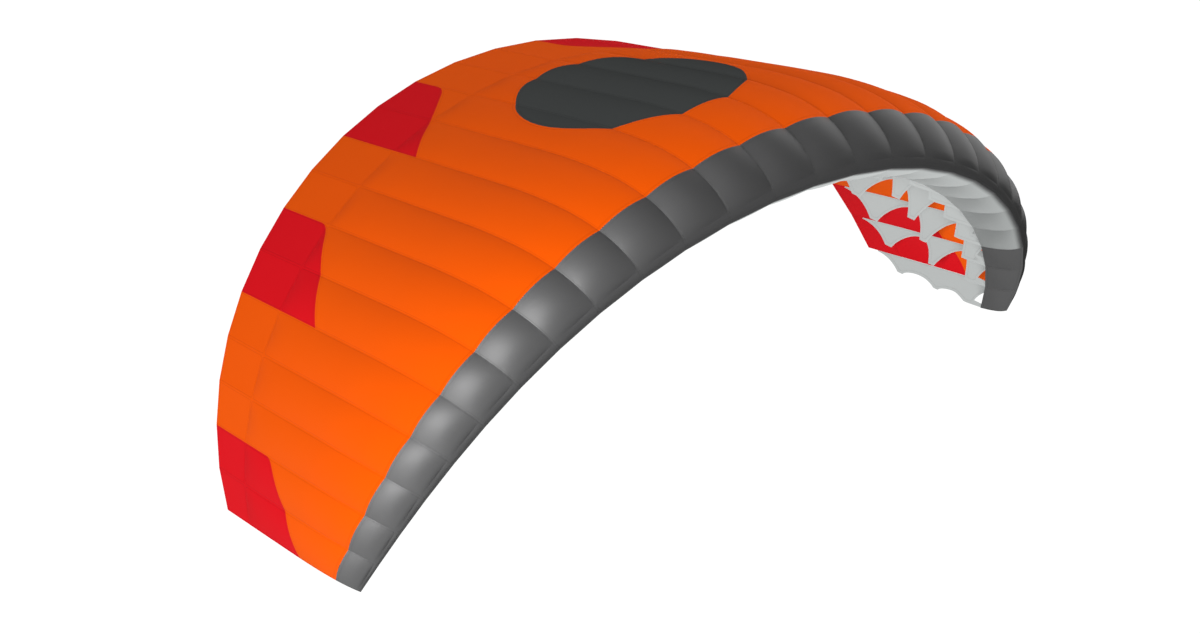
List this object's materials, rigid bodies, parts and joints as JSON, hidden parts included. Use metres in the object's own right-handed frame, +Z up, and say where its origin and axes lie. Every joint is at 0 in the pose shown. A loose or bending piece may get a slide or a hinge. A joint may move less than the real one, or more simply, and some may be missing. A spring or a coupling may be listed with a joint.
{
  "type": "parawing",
  "caption": "Arched single-skin parawing of sewn ripstop cloth: a canopy with a closed nose and scalloped ribs with line tabs, flown on bridle lines",
  "frame": {"origin": "middle of the nose's rear hem, in the centre cell, where the front bridle lines pull", "axes": "+X along the span towards the wing's right tip in the picture, +Y from the nose to the trailing edge, +Z up in flight"},
  "size_m": [2.7672, 1.457, 1.1559],
  "materials": {
    "orange_cloth": "satin coated ripstop, bright orange",
    "red_cloth": "satin coated ripstop, red",
    "dark_grey_cloth": "satin coated ripstop, dark grey",
    "light_grey_cloth": "matt coated ripstop, light grey"
  },
  "bodies": {
    "root": {"canopy_skin": "orange_cloth", "middle_patch": "dark_grey_cloth", "red_panel_tip_left": "red_cloth", "red_panel_tip_right": "red_cloth", "red_panel_mid_left": "red_cloth", "red_panel_mid_right": "red_cloth", "red_panel_inner_left": "red_cloth", "red_panel_inner_right": "red_cloth", "nose_top": "dark_grey_cloth", "nose_under": "light_grey_cloth", "nose_under_left": "dark_grey_cloth", "nose_under_right": "dark_grey_cloth", "rib_00": "light_grey_cloth", "rib_01": "light_grey_cloth", "rib_02": "light_grey_cloth", "rib_03": "light_grey_cloth", "rib_04": "light_grey_cloth", "rib_05": "light_grey_cloth", "rib_06": "light_grey_cloth", "rib_07": "light_grey_cloth", "rib_08": "light_grey_cloth", "rib_09": "light_grey_cloth", "rib_10": "light_grey_cloth", "rib_11": "light_grey_cloth", "rib_12": "light_grey_cloth", "rib_13": "light_grey_cloth", "rib_14": "light_grey_cloth", "rib_15": "light_grey_cloth", "rib_16": "light_grey_cloth", "rib_17": "light_grey_cloth", "rib_18": "light_grey_cloth", "rib_19": "light_grey_cloth", "rib_20": "light_grey_cloth", "rib_21": "light_grey_cloth", "rib_22": "light_grey_cloth", "rib_23": "light_grey_cloth", "rib_24": "light_grey_cloth", "rib_25": "light_grey_cloth"}
  },
  "joints": []
}
